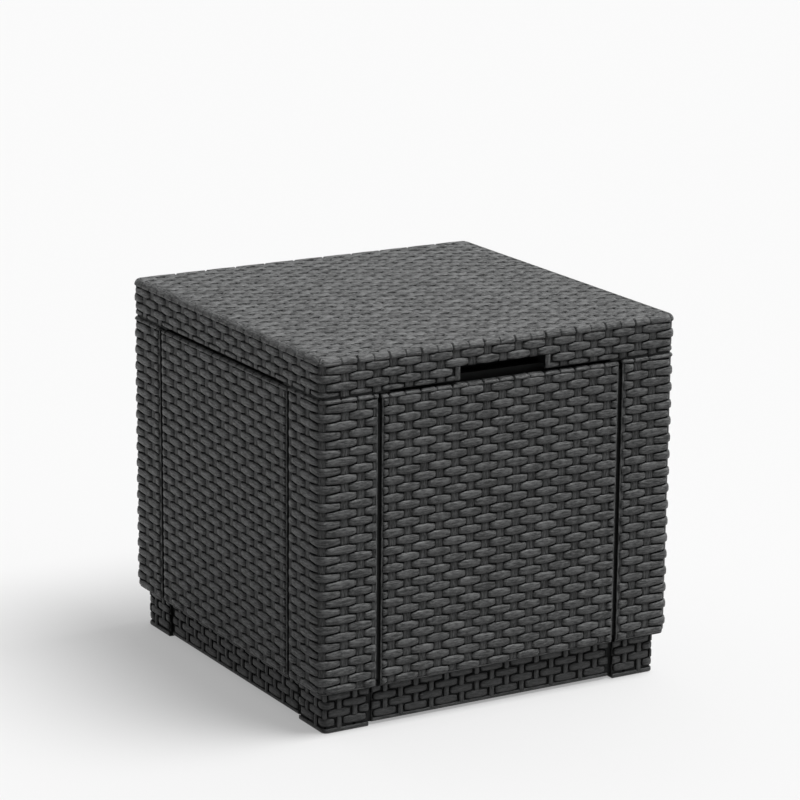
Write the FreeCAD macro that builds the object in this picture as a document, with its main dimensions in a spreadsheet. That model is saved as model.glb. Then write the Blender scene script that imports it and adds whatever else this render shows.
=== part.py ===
import FreeCAD, Part
import math
import os
import re

# Square storage table with a lift-off lid, moulded in resin that imitates woven rattan.
# Millimetres, +Z up. The origin is on the floor under the middle of the table, the front with the
# finger grip faces -Y and +X is to the right of someone who faces the front.

doc = FreeCAD.newDocument("rattan_storage_table")

# Driving dimensions: name, size and what it is.
DIMENSIONS = (
    ("width", 420, "overall, along X"),
    ("depth", 420, "overall, along Y"),
    ("height", 390, "overall, floor to the top of the lid"),
    ("corner_radius", 10, "upright corners of the lid and the posts"),
    ("lid_height", 42, "lid, from the top of the posts up"),
    ("plinth_height", 43.5, "floor to the lower edge of the walls"),
    ("wall_depth", 14, "walls, outer face to inner edge of the flanges"),
    ("skin", 4, "moulded outer skin of posts and panels"),
    ("flange", 3, "flanges, ledges and ribs"),
    ("post_width", 66, "each face of a corner post"),
    ("groove_width", 4.5, "open groove between a post and a panel"),
    ("panel_drop", 1.2, "panel top below the top of the posts"),
    ("hem_radius", 5, "rolled top edge of a panel"),
    ("hem_height", 9, "solid hem along the top of a panel"),
    ("wall_bottom_radius", 5.5, "lower outer edge of posts and panels"),
    ("base_lap", 7, "how far the lower edge of the walls laps outside the tray"),
    ("tongue_thickness", 3, "tongues and tabs of the panels"),
    ("tongue_setback", 1, "tongue behind the back of the skin"),
    ("tongue_reach", 2, "tongue past the flange of the post"),
    ("tab_width", 30, "locating tab under a panel"),
    ("tab_offset", 80, "tab centre from the middle of a panel"),
    ("tab_land", 3, "tray left outside a tab"),
    ("fit_clearance", 0.2, "each side of parts that plug together"),
    ("floor_thickness", 4, "floor tray plate"),
    ("tray_radius", 6, "upright corners of the tray"),
    ("tray_rib_height", 18, "ribs that cross under the middle of the tray"),
    ("foot_inset", 10.5, "foot face behind the wall face"),
    ("foot_width", 52, "each side of a foot"),
    ("foot_wall", 4, "side walls of a foot"),
    ("foot_floor", 5, "sole of a foot"),
    ("foot_radius", 6, "outer upright corner of a foot"),
    ("foot_edge_radius", 1.5, "lower edges of a foot"),
    ("foot_gap", 5, "open groove between a foot and a rail"),
    ("rail_inset", 12.5, "rail face behind the wall face"),
    ("rail_wall", 3.5, "woven face of a rail"),
    ("rail_tongue", 3, "backing plate of a rail that plugs into the feet"),
    ("rail_clearance", 3, "floor to the lower edge of a rail"),
    ("lid_wall", 4, "top and skirt of the lid"),
    ("lid_edge_radius", 7.5, "rolled top edge of the lid"),
    ("grip_width", 100, "finger-grip slot"),
    ("grip_height", 16.5, "finger-grip slot, from the lower edge of the skirt up"),
    ("relief_width", 260, "shallow relief of the skirt over a panel"),
    ("relief_height", 2, "shallow relief of the skirt over a panel"),
    ("lid_boss_inset", 60, "lid boss centre behind the wall face"),
    ("lid_boss_wall", 3, "wall of a lid boss round its screw"),
    ("lid_rib_height", 12, "ribs under the lid top"),
    ("liner_wall", 3, "plate, lip and pocket walls of the liner"),
    ("liner_gap", 2, "liner plate above the top of the posts"),
    ("lip_depth", 10.5, "locating lip below the top of the posts"),
    ("lid_clearance", 2, "locating lip to the walls"),
    ("pocket_depth", 18, "finger pocket behind the face of the lip"),
    ("pocket_margin", 3.5, "finger pocket wider than the slot, each side"),
    ("pocket_clearance", 0.3, "pocket walls to the lid"),
    ("screw_inset", 21, "corner screw behind the wall face"),
    ("screw_radius", 2.5, "corner screw shank"),
    ("screw_head_radius", 5, "corner screw head"),
    ("screw_head_height", 3.5, "corner screw head"),
    ("screw_recess", 9, "floor to the seat of a corner screw head"),
    ("screw_engagement", 22, "corner screw above the floor tray"),
    ("boss_wall", 2.5, "wall of a boss round a corner screw"),
    ("lid_screw_radius", 2, "lid screw shank"),
    ("lid_screw_head_radius", 4, "lid screw head"),
    ("lid_screw_head_height", 2.4, "lid screw head"),
    ("lid_screw_engagement", 14, "lid screw above the liner plate"),
    ("hole_clearance", 0.05, "screw hole round its shank"),
    ("head_clearance", 0.5, "recess round a screw head"),
    ("drive_width", 1.2, "slot in a screw head, width and depth"),
    ("weave_pitch", 18.1, "upright strands of the weave, centre to centre"),
    ("weave_row", 9.05, "rows of the weave on the walls and the lid top"),
    ("skirt_row", 8.6, "rows of the weave on the skirt of the lid"),
    ("weave_gap", 9.4, "upright strand seen between two floats of its row"),
    ("weave_relief", 1.8, "upright strands below the floats of the rows"),
    ("weave_margin", 10, "weave ends before the edge of the lid top"),
    ("corner_margin", 20, "weave of a side ends before the strand that stands in the corner"),
    ("wall_hem", 4.8, "hem above the weave of the walls, from the top of the posts down"),
    ("lid_hem", 8, "hem above the weave of the skirt, from the top of the lid down"),
    ("overrun", 1, "how far a cut runs past the face that it opens"),
)

sheet = doc.addObject("Spreadsheet::Sheet", "sizes")
for row, (alias, size, meaning) in enumerate(DIMENSIONS, 1):
    sheet.set(f"A{row}", alias)
    sheet.set(f"B{row}", str(size))
    sheet.setAlias(f"B{row}", alias)
    sheet.set(f"C{row}", meaning)
doc.recompute()

# Counts, angles, and the smallest length that matters when edges are picked.
PANEL_BAYS = 4
RIB_STEPS = (-1, 0, 1)
SIDES = (-1, 1)
QUARTER_TURNS = range(4)
RIGHT_ANGLE = 90
TINY = 0.001

# Levels and places that several pieces share.
SEAM = "(height - lid_height)"
DECK = "(plinth_height + floor_thickness)"
PANEL_TOP = "(height - lid_height - panel_drop)"
LINER_TOP = "(height - lid_height + liner_gap + liner_wall)"
LID_CEILING = "(height - lid_wall)"
HALF_WIDTH = "(width / 2)"
HALF_DEPTH = "(depth / 2)"
TONGUE_FACE = "(skin + tongue_setback)"
TAB_FACE = "(base_lap + tab_land)"

SIDE_NAMES = ("front", "right", "back", "left")
CORNER_NAMES = ("front_left", "front_right", "back_right", "back_left")
subparts = []


def tied(text):
    """The expression with every dimension's name turned into its cell of the sheet."""
    return re.sub(r"[a-z_]{2,}", lambda word: "sizes." + word.group(), text)


def new_name(kind):
    """A name of its own for a helper solid."""
    return f"{kind}_{len(doc.Objects)}"


def set_corners(solid, placed, low, high):
    """Stretch a box from one corner to the other, with every number tied to the sheet."""
    for axis, side, start, end in zip("xyz", ("Length", "Width", "Height"), low, high):
        placed.setExpression(f"Placement.Base.{axis}", tied(start))
        solid.setExpression(side, tied(f"({end}) - ({start})"))


def block(low, high):
    """Plain box between two corners."""
    solid = doc.addObject("Part::Box", new_name("block"))
    set_corners(solid, solid, low, high)
    return solid


def rod(x, y, z_low, z_high, radius):
    """Upright cylinder."""
    solid = doc.addObject("Part::Cylinder", new_name("rod"))
    solid.setExpression("Radius", tied(radius))
    solid.setExpression("Height", tied(f"({z_high}) - ({z_low})"))
    for axis, place in zip("xyz", (x, y, z_low)):
        solid.setExpression(f"Placement.Base.{axis}", tied(place))
    return solid


def rounded_block(low, high, *rounds):
    """Box whose edges are rounded in turn: each round is a test that picks edges, and a radius."""
    body = doc.addObject("PartDesign::Body", new_name("body"))
    feature = body.newObject("PartDesign::AdditiveBox", new_name("box"))
    set_corners(feature, body, low, high)
    doc.recompute()
    extent = feature.Shape.BoundBox
    for picks, radius in rounds:
        edges = enumerate(feature.Shape.Edges, 1)
        names = [f"Edge{number}" for number, edge in edges if picks(edge.BoundBox, extent)]
        rounding = body.newObject("PartDesign::Fillet", new_name("round"))
        rounding.Base = (feature, names)
        rounding.setExpression("Radius", tied(radius))
        body.Tip = rounding
        feature = rounding
        doc.recompute()
    return body


def is_upright(edge, extent):
    """Picks the four upright edges of a box."""
    return edge.ZLength > TINY and edge.XLength < TINY and edge.YLength < TINY


def is_outer_upright(edge, extent):
    """Picks the upright edge at the low corner of a box."""
    return is_upright(edge, extent) and edge.XMax < TINY and edge.YMax < TINY


def is_top(edge, extent):
    """Picks every edge of the top face."""
    return edge.ZMin > extent.ZMax - TINY


def is_bottom(edge, extent):
    """Picks every edge of the bottom face."""
    return edge.ZMax < TINY


def is_outer_bottom(edge, extent):
    """Picks the bottom edges on the two outer faces of a corner piece, and the arc between them."""
    inside = edge.XMin < extent.XMax - TINY and edge.YMin < extent.YMax - TINY
    return is_bottom(edge, extent) and inside


def is_lengthwise_top(edge, extent):
    """Picks the two long edges of the top face of a wall piece."""
    return is_top(edge, extent) and edge.YLength < TINY


def is_front_bottom(edge, extent):
    """Picks the long bottom edge on the outer face of a wall piece."""
    return is_bottom(edge, extent) and edge.YMax < TINY


def fuse(*pieces):
    """One solid from pieces that meet or overlap."""
    whole = doc.addObject("Part::MultiFuse", new_name("fuse"))
    whole.Shapes = list(pieces)
    whole.Refine = True
    return whole


def cut(base, *tools):
    """The base with every tool cut out of it."""
    result = doc.addObject("Part::Cut", new_name("cut"))
    result.Base = base
    result.Tool = fuse(*tools) if len(tools) > 1 else tools[0]
    result.Refine = True
    return result


def keep(solid, label, quarter_turns=0):
    """Make a solid a sub-part of the table, turned about the middle to its own side or corner."""
    solid.Label = label
    turn = FreeCAD.Rotation(FreeCAD.Vector(0, 0, 1), RIGHT_ANGLE * quarter_turns)
    solid.Placement = FreeCAD.Placement(FreeCAD.Vector(), turn)
    subparts.append(solid)


def half_sizes(quarter_turns):
    """Half length and half distance of a wall that is drawn at the front and turned to its side."""
    if quarter_turns % 2:
        return HALF_DEPTH, HALF_WIDTH
    return HALF_WIDTH, HALF_DEPTH


def screw(x, y, z_head, z_tip, radius, head_radius, head_height):
    """Slotted screw that points up, with the underside of its head at z_head."""
    head = rod(x, y, f"{z_head} - {head_height}", z_head, head_radius)
    shank = rod(x, y, z_head, z_tip, radius)
    slot = block((f"{x} - {head_radius} - overrun", f"{y} - drive_width / 2",
                  f"{z_head} - {head_height} - overrun"),
                 (f"{x} + {head_radius} + overrun", f"{y} + drive_width / 2",
                  f"{z_head} - {head_height} + drive_width"))
    return cut(fuse(head, shank), slot)


def group(solids):
    """Separate solids that share one node."""
    whole = doc.addObject("Part::Compound", new_name("group"))
    whole.Links = solids
    return whole


def corner_places(inset):
    """The four points that lie one inset in from both faces of each corner."""
    return [(f"{x_side} * ({HALF_WIDTH} - {inset})", f"{y_side} * ({HALF_DEPTH} - {inset})")
            for y_side in SIDES for x_side in SIDES]


# Weave: the floats of the rows lie in the outer face, and every second place along a row is sunk
# where an upright strand shows between two floats.
def size(alias):
    """Present value of a dimension, in millimetres."""
    return float(sheet.get(alias))


def half_lengths(quarter_turns):
    """Present values of half_sizes."""
    halves = (size("width") / 2, size("depth") / 2)
    return halves[::-1] if quarter_turns % 2 else halves


def wall_levels():
    """Top and bottom of the weave on the walls, and the height of its rows."""
    top = size("height") - size("lid_height") - size("wall_hem")
    return top, size("plinth_height") + size("wall_bottom_radius"), size("weave_row")


def skirt_levels():
    """Top and bottom of the weave on the skirt of the lid, and the height of its rows."""
    seam = size("height") - size("lid_height")
    return size("height") - size("lid_hem"), seam + size("relief_height"), size("skirt_row")


def last_column(end):
    """Number of the last upright strand that shows before a place along a side; the middle one is 0."""
    return math.floor((end + size("weave_gap") / 2) / size("weave_pitch"))


def row_feet(column, top, bottom, row_height):
    """Lower ends of the places where an upright strand shows: every second row."""
    rows = range(math.floor((top - bottom) / row_height))
    return [top - (row + 1) * row_height for row in rows if (row + column) % 2]


def side_recesses(start, end, distance, top, bottom, row_height):
    """Sunk places of one side between two places along it and two levels, drawn at the front."""
    gap, overrun = size("weave_gap"), size("overrun")
    recesses = []
    for column in range(-last_column(-start), last_column(end) + 1):
        left = size("weave_pitch") * column - gap / 2
        for foot in row_feet(column, top, bottom, row_height):
            corner = FreeCAD.Vector(left, -distance - overrun, foot)
            recesses.append(Part.makeBox(gap, size("weave_relief") + overrun, row_height, corner))
    return recesses


def corner_recesses(turn, top, bottom, row_height):
    """Flats of the upright strand that stands in a rounded corner, drawn at the front left."""
    half_span, half_reach = half_lengths(turn)
    radius, overrun = size("corner_radius"), size("overrun")
    middle = FreeCAD.Vector(radius - half_span, radius - half_reach, 0)
    column = last_column(half_span - size("corner_margin")) + 1
    recesses = []
    for foot in row_feet(column, top, bottom, row_height):
        corner = middle + FreeCAD.Vector(-radius, -radius - overrun, foot)
        flat = Part.makeBox(2 * radius, size("weave_relief") + overrun, row_height, corner)
        flat.rotate(middle, FreeCAD.Vector(0, 0, 1), -RIGHT_ANGLE / 2)
        recesses.append(flat)
    return recesses


def skirt_recesses(turn):
    """Sunk places of the weave on one side of the lid and its left corner, clear of the finger grip."""
    half_span, half_reach = half_lengths(turn)
    end = half_span - size("corner_margin")
    recesses = side_recesses(-end, end, half_reach, *skirt_levels())
    if turn == 0:
        grip_top = size("height") - size("lid_height") + size("grip_height")
        grip_end = size("grip_width") / 2 + size("weave_gap") / 2
        recesses = [recess for recess in recesses
                    if recess.BoundBox.ZMin > grip_top or abs(recess.BoundBox.Center.x) > grip_end]
    return turned(recesses + corner_recesses(turn, *skirt_levels()), turn)


def top_recesses():
    """Sunk places of the weave on the top of the lid, whose rows run along X."""
    pitch, gap, row_height = size("weave_pitch"), size("weave_gap"), size("weave_row")
    relief = size("weave_relief")
    rows = math.floor((size("depth") / 2 - size("weave_margin")) / row_height)
    columns = math.floor((size("width") / 2 - size("weave_margin")) / pitch)
    recesses = []
    for row in range(-rows, rows):
        for column in range(-columns, columns + 1):
            if (row + column) % 2:
                corner = FreeCAD.Vector(pitch * column - gap / 2, row_height * row, size("height") - relief)
                recesses.append(Part.makeBox(gap, row_height, relief + size("overrun"), corner))
    return recesses


def turned(recesses, quarter_turns):
    """The sunk places turned about the middle of the table from the front to another side."""
    for recess in recesses:
        recess.rotate(FreeCAD.Vector(), FreeCAD.Vector(0, 0, 1), RIGHT_ANGLE * quarter_turns)
    return recesses


def woven(solid, recesses):
    """The solid with its sunk places cut into its outer face."""
    tool = doc.addObject("Part::Feature", new_name("recesses"))
    tool.Shape = Part.makeCompound(recesses)
    return cut(solid, tool)


# Corner feet: hollow blocks with a closed sole, which stand a little proud of the rails.
def corner_foot(turn):
    span, reach = half_sizes(turn)
    x_face, y_face = f"-{span} + foot_inset", f"-{reach} + foot_inset"
    x_screw, y_screw = f"-{span} + screw_inset", f"-{reach} + screw_inset"
    shell = rounded_block((x_face, y_face, "0"),
                          (f"{x_face} + foot_width", f"{y_face} + foot_width", "plinth_height"),
                          (is_outer_upright, "foot_radius"), (is_bottom, "foot_edge_radius"))
    hollow = rounded_block((f"{x_face} + foot_wall", f"{y_face} + foot_wall", "foot_floor"),
                           (f"{x_face} + foot_width - foot_wall", f"{y_face} + foot_width - foot_wall",
                            "plinth_height + overrun"),
                           (is_outer_upright, "foot_radius - foot_wall"))
    column = rod(x_screw, y_screw, "foot_floor / 2", "plinth_height",
                 "screw_head_radius + head_clearance + boss_wall")
    hole = rod(x_screw, y_screw, "-overrun", "plinth_height + overrun", "screw_radius + hole_clearance")
    recess = rod(x_screw, y_screw, "-overrun", "screw_recess", "screw_head_radius + head_clearance")
    slot_face = "rail_inset + rail_wall - fit_clearance"
    slot_back = "rail_inset + rail_wall + rail_tongue + fit_clearance"
    slot_floor = "rail_clearance - fit_clearance"
    slot_start, slot_end = "foot_width - foot_wall - overrun", "foot_width + overrun"
    slot_along_x = block((f"{x_face} + {slot_start}", f"-{reach} + {slot_face}", slot_floor),
                         (f"{x_face} + {slot_end}", f"-{reach} + {slot_back}", "plinth_height + overrun"))
    slot_along_y = block((f"-{span} + {slot_face}", f"{y_face} + {slot_start}", slot_floor),
                         (f"-{span} + {slot_back}", f"{y_face} + {slot_end}", "plinth_height + overrun"))
    cup = fuse(cut(shell, hollow), column)
    foot = cut(cup, hole, recess, slot_along_x, slot_along_y)
    keep(foot, f"{CORNER_NAMES[turn]}_foot", turn)


# Plinth rails: a woven face on a backing plate that plugs into both feet.
def plinth_rail(turn):
    span, reach = half_sizes(turn)
    face = f"-{reach} + rail_inset"
    half_face = f"({span} - foot_inset - foot_width - foot_gap)"
    half_tongue = f"({span} - foot_inset - foot_width + foot_wall)"
    woven_face = block((f"-{half_face}", face, "rail_clearance"),
                       (half_face, f"{face} + rail_wall", "plinth_height"))
    backing = block((f"-{half_tongue}", f"{face} + rail_wall", "rail_clearance"),
                    (half_tongue, f"{face} + rail_wall + rail_tongue", "plinth_height"))
    keep(fuse(woven_face, backing), f"{SIDE_NAMES[turn]}_rail", turn)


# Floor tray: a plate on the feet and rails with a cross of ribs, slotted for the tabs of the panels.
def floor_tray():
    half_x = f"({HALF_WIDTH} - base_lap - fit_clearance)"
    half_y = f"({HALF_DEPTH} - base_lap - fit_clearance)"
    plate = rounded_block((f"-{half_x}", f"-{half_y}", "plinth_height"), (half_x, half_y, DECK),
                          (is_upright, "tray_radius"))
    rail_back = "(rail_inset + rail_wall + rail_tongue + fit_clearance)"
    rib_x, rib_y = f"({HALF_WIDTH} - {rail_back})", f"({HALF_DEPTH} - {rail_back})"
    rib_foot = "plinth_height - tray_rib_height"
    ribs = [block((f"-{rib_x}", "-flange / 2", rib_foot), (rib_x, "flange / 2", "plinth_height")),
            block(("-flange / 2", f"-{rib_y}", rib_foot), ("flange / 2", rib_y, "plinth_height"))]
    holes = [rod(x, y, "plinth_height - overrun", f"{DECK} + overrun", "screw_radius + hole_clearance")
             for x, y in corner_places("screw_inset")]
    slots = []
    for side in SIDES:
        for reach_side in SIDES:
            along = f"{side} * tab_offset"
            half_slot = "(tab_width / 2 + fit_clearance)"
            middle = f"({TAB_FACE} + tongue_thickness / 2)"
            half_thickness = "(tongue_thickness / 2 + fit_clearance)"
            across_y = f"{reach_side} * ({HALF_DEPTH} - {middle})"
            across_x = f"{reach_side} * ({HALF_WIDTH} - {middle})"
            slots.append(block((f"{along} - {half_slot}", f"{across_y} - {half_thickness}",
                                "plinth_height - overrun"),
                               (f"{along} + {half_slot}", f"{across_y} + {half_thickness}",
                                f"{DECK} + overrun")))
            slots.append(block((f"{across_x} - {half_thickness}", f"{along} - {half_slot}",
                                "plinth_height - overrun"),
                               (f"{across_x} + {half_thickness}", f"{along} + {half_slot}",
                                f"{DECK} + overrun")))
    keep(cut(fuse(plate, *ribs), *holes, *slots), "floor_tray")


# Corner posts: L-shaped skins with ledges, slotted end flanges and a boss for the corner screw.
def corner_post(turn):
    span, reach = half_sizes(turn)
    x_face, y_face = f"-{span}", f"-{reach}"
    outer = rounded_block((x_face, y_face, "plinth_height"),
                          (f"{x_face} + post_width", f"{y_face} + post_width", SEAM),
                          (is_outer_upright, "corner_radius"), (is_outer_bottom, "wall_bottom_radius"))
    inside = block((f"{x_face} + wall_depth", f"{y_face} + wall_depth", "plinth_height - overrun"),
                   (f"{x_face} + post_width + overrun", f"{y_face} + post_width + overrun",
                    f"{SEAM} + overrun"))
    hollow = rounded_block((f"{x_face} + skin", f"{y_face} + skin", f"{DECK} + flange"),
                           (f"{x_face} + post_width - flange", f"{y_face} + post_width - flange",
                            f"{SEAM} - flange"),
                           (is_outer_upright, "corner_radius - skin"))
    tray_rebate = block((f"{x_face} + base_lap", f"{y_face} + base_lap", "plinth_height - overrun"),
                        (f"{x_face} + post_width + overrun", f"{y_face} + post_width + overrun", DECK))
    slot_face = f"{TONGUE_FACE} - fit_clearance"
    slot_back = f"{TONGUE_FACE} + tongue_thickness + fit_clearance"
    slot_floor = f"{DECK} + flange"
    slot_start, slot_end = "post_width - flange - overrun", "post_width + overrun"
    slot_along_x = block((f"{x_face} + {slot_start}", f"{y_face} + {slot_face}", slot_floor),
                         (f"{x_face} + {slot_end}", f"{y_face} + {slot_back}", f"{SEAM} + overrun"))
    slot_along_y = block((f"{x_face} + {slot_face}", f"{y_face} + {slot_start}", slot_floor),
                         (f"{x_face} + {slot_back}", f"{y_face} + {slot_end}", f"{SEAM} + overrun"))
    x_screw, y_screw = f"{x_face} + screw_inset", f"{y_face} + screw_inset"
    boss_radius = "(screw_radius + boss_wall)"
    pad = block((f"{x_face} + base_lap", f"{y_face} + base_lap", DECK),
                (f"{x_screw} + {boss_radius}", f"{y_screw} + {boss_radius}", f"{DECK} + flange"))
    boss = rod(x_screw, y_screw, DECK, f"{DECK} + screw_engagement + flange", boss_radius)
    hole = rod(x_screw, y_screw, f"{DECK} - overrun", f"{DECK} + screw_engagement + overrun",
               "screw_radius + hole_clearance")
    shell = cut(outer, inside, hollow, tray_rebate, slot_along_x, slot_along_y)
    post = cut(fuse(shell, pad, boss), hole)
    half_span, half_reach = half_lengths(turn)
    margin, post_width = size("corner_margin"), size("post_width")
    recesses = side_recesses(margin - half_span, post_width - half_span, half_reach, *wall_levels())
    left_face = side_recesses(half_reach - post_width, half_reach - margin, half_span, *wall_levels())
    recesses += turned(left_face, -1) + corner_recesses(turn, *wall_levels())
    keep(woven(post, recesses), f"{CORNER_NAMES[turn]}_post", turn)


# Wall panels: ribbed skins with a rolled hem, side tongues for the posts and tabs for the tray.
def wall_panel(turn):
    span, reach = half_sizes(turn)
    face = f"-{reach}"
    half_panel = f"({span} - post_width - groove_width)"
    outer = rounded_block((f"-{half_panel}", face, "plinth_height"),
                          (half_panel, f"{face} + wall_depth", PANEL_TOP),
                          (is_lengthwise_top, "hem_radius"), (is_front_bottom, "wall_bottom_radius"))
    tray_rebate = block((f"-{half_panel} - overrun", f"{face} + base_lap", "plinth_height - overrun"),
                        (f"{half_panel} + overrun", f"{face} + wall_depth + overrun", DECK))
    bay = f"((2 * {half_panel} - ({PANEL_BAYS} + 1) * flange) / {PANEL_BAYS})"
    bays = []
    for number in range(PANEL_BAYS):
        start = f"-{half_panel} + flange + {number} * ({bay} + flange)"
        bays.append(block((start, f"{face} + skin", f"{DECK} + flange"),
                          (f"{start} + {bay}", f"{face} + wall_depth + overrun",
                           f"{PANEL_TOP} - hem_height")))
    tongue_root = f"({half_panel} - flange / 2)"
    tongue_tip = f"({half_panel} + groove_width + flange + tongue_reach)"
    half_length = f"({tongue_tip} - {tongue_root}) / 2"
    additions = []
    for side in SIDES:
        tongue_middle = f"{side} * ({tongue_root} + {tongue_tip}) / 2"
        additions.append(block((f"{tongue_middle} - {half_length}", f"{face} + {TONGUE_FACE}",
                                f"{DECK} + flange + fit_clearance"),
                               (f"{tongue_middle} + {half_length}",
                                f"{face} + {TONGUE_FACE} + tongue_thickness",
                                f"{PANEL_TOP} - hem_height")))
        tab_middle = f"{side} * tab_offset"
        additions.append(block((f"{tab_middle} - tab_width / 2", f"{face} + {TAB_FACE}", "plinth_height"),
                               (f"{tab_middle} + tab_width / 2", f"{face} + {TAB_FACE} + tongue_thickness",
                                f"{DECK} + flange / 2")))
    panel = fuse(cut(outer, tray_rebate, *bays), *additions)
    half_span, half_reach = half_lengths(turn)
    panel_end = half_span - size("post_width") - size("groove_width")
    recesses = side_recesses(-panel_end, panel_end, half_reach, *wall_levels())
    keep(woven(panel, recesses), f"{SIDE_NAMES[turn]}_panel", turn)


# Corner screws: each clamps a foot, the tray and a post together.
def corner_screws():
    screws = [screw(x, y, "screw_recess", f"({DECK} + screw_engagement)", "screw_radius",
                    "screw_head_radius", "screw_head_height")
              for x, y in corner_places("screw_inset")]
    keep(group(screws), "corner_screws")


# Lid: a tray upside down, with the finger-grip slot in its front skirt, ribs and screw bosses.
def lid_shell():
    outer = rounded_block((f"-{HALF_WIDTH}", f"-{HALF_DEPTH}", SEAM), (HALF_WIDTH, HALF_DEPTH, "height"),
                          (is_upright, "corner_radius"), (is_top, "lid_edge_radius"))
    half_x, half_y = f"({HALF_WIDTH} - lid_wall)", f"({HALF_DEPTH} - lid_wall)"
    hollow = rounded_block((f"-{half_x}", f"-{half_y}", f"{SEAM} - overrun"), (half_x, half_y, LID_CEILING),
                           (is_upright, "corner_radius - lid_wall"), (is_top, "lid_edge_radius - lid_wall"))
    relief_x = block(("-relief_width / 2", f"-{HALF_DEPTH} - overrun", f"{SEAM} - overrun"),
                     ("relief_width / 2", f"{HALF_DEPTH} + overrun", f"{SEAM} + relief_height"))
    relief_y = block((f"-{HALF_WIDTH} - overrun", "-relief_width / 2", f"{SEAM} - overrun"),
                     (f"{HALF_WIDTH} + overrun", "relief_width / 2", f"{SEAM} + relief_height"))
    grip = block(("-grip_width / 2", f"-{HALF_DEPTH} - overrun", f"{SEAM} - overrun"),
                 ("grip_width / 2", f"-{HALF_DEPTH} + lid_wall + overrun", f"{SEAM} + grip_height"))
    skirted_top = cut(outer, hollow, relief_x, relief_y, grip)
    boss_x, boss_y = f"({HALF_WIDTH} - lid_boss_inset)", f"({HALF_DEPTH} - lid_boss_inset)"
    rib_foot, rib_head = f"{LID_CEILING} - lid_rib_height", f"{LID_CEILING} + lid_wall / 2"
    stiffeners = []
    for step in RIB_STEPS:
        x_place, y_place = f"{step} * {boss_x}", f"{step} * {boss_y}"
        stiffeners.append(block((f"-{boss_x}", f"{y_place} - flange / 2", rib_foot),
                                (boss_x, f"{y_place} + flange / 2", rib_head)))
        stiffeners.append(block((f"{x_place} - flange / 2", f"-{boss_y}", rib_foot),
                                (f"{x_place} + flange / 2", boss_y, rib_head)))
    holes = []
    for x, y in corner_places("lid_boss_inset"):
        stiffeners.append(rod(x, y, LINER_TOP, rib_head, "lid_screw_radius + lid_boss_wall"))
        holes.append(rod(x, y, f"{LINER_TOP} - overrun", f"{LINER_TOP} + lid_screw_engagement",
                         "lid_screw_radius + hole_clearance"))
    shell = cut(fuse(skirted_top, *stiffeners), *holes)
    recesses = top_recesses()
    for turn in QUARTER_TURNS:
        recesses += skirt_recesses(turn)
    keep(woven(shell, recesses), "lid_shell")


# Lid liner: a plate under the bosses, with a lip that centres the lid and a pocket behind the grip.
def lid_liner():
    half_x = f"({HALF_WIDTH} - wall_depth - lid_clearance)"
    half_y = f"({HALF_DEPTH} - wall_depth - lid_clearance)"
    inner_x, inner_y = f"({half_x} - liner_wall)", f"({half_y} - liner_wall)"
    lip_foot = f"{SEAM} - lip_depth"
    outer = rounded_block((f"-{half_x}", f"-{half_y}", lip_foot), (half_x, half_y, LINER_TOP),
                          (is_upright, "corner_radius"))
    hollow = rounded_block((f"-{inner_x}", f"-{inner_y}", f"{lip_foot} - overrun"),
                           (inner_x, inner_y, f"{SEAM} + liner_gap"),
                           (is_upright, "corner_radius - liner_wall"))
    half_pocket = "(grip_width / 2 + pocket_margin)"
    pocket_front = f"-{HALF_DEPTH} + lid_edge_radius + pocket_clearance"
    pocket_back = f"-{half_y} + pocket_depth"
    pocket_foot = f"{LINER_TOP} - liner_wall / 2"
    pocket_head = f"{LID_CEILING} - pocket_clearance"
    walls = [block((f"-{half_pocket} - liner_wall", pocket_back, pocket_foot),
                   (f"{half_pocket} + liner_wall", f"{pocket_back} + liner_wall", pocket_head))]
    for side in SIDES:
        middle = f"{side} * ({half_pocket} + liner_wall / 2)"
        walls.append(block((f"{middle} - liner_wall / 2", pocket_front, LINER_TOP),
                           (f"{middle} + liner_wall / 2", f"{pocket_back} + liner_wall", pocket_head)))
    holes = [rod(x, y, f"{SEAM} + liner_gap - overrun", f"{LINER_TOP} + overrun",
                 "lid_screw_radius + hole_clearance")
             for x, y in corner_places("lid_boss_inset")]
    keep(cut(fuse(cut(outer, hollow), *walls), *holes), "lid_liner")


# Lid screws: hold the liner up against the bosses of the lid.
def lid_screws():
    screws = [screw(x, y, f"({SEAM} + liner_gap)", f"({LINER_TOP} + lid_screw_engagement - overrun)",
                    "lid_screw_radius", "lid_screw_head_radius", "lid_screw_head_height")
              for x, y in corner_places("lid_boss_inset")]
    keep(group(screws), "lid_screws")


for turn in QUARTER_TURNS:
    corner_foot(turn)
    plinth_rail(turn)
floor_tray()
for turn in QUARTER_TURNS:
    corner_post(turn)
    wall_panel(turn)
corner_screws()
lid_shell()
lid_liner()
lid_screws()
doc.recompute()

# A failed feature, a cut that removes nothing or a broken solid stops the build here.
for item in doc.Objects:
    if "Invalid" in item.State or "Error" in item.State:
        raise RuntimeError(f"{item.Label} failed: {item.State}")
    if item.TypeId == "Part::Cut" and item.Shape.Volume > item.Base.Shape.Volume - TINY:
        raise RuntimeError(f"{item.Label} cuts nothing")
for solid in subparts:
    if solid.Shape.isNull() or not solid.Shape.isValid():
        raise RuntimeError(f"{solid.Label} has no valid shape")

os.makedirs("parts", exist_ok=True)
for solid in subparts:
    solid.Shape.exportStep(f"parts/{solid.Label}.step")
    print(f"{solid.Label}: {len(solid.Shape.Solids)} solid, {solid.Shape.Volume / 1000:.1f} cm3")
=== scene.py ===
import collections
import itertools
import math

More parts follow.
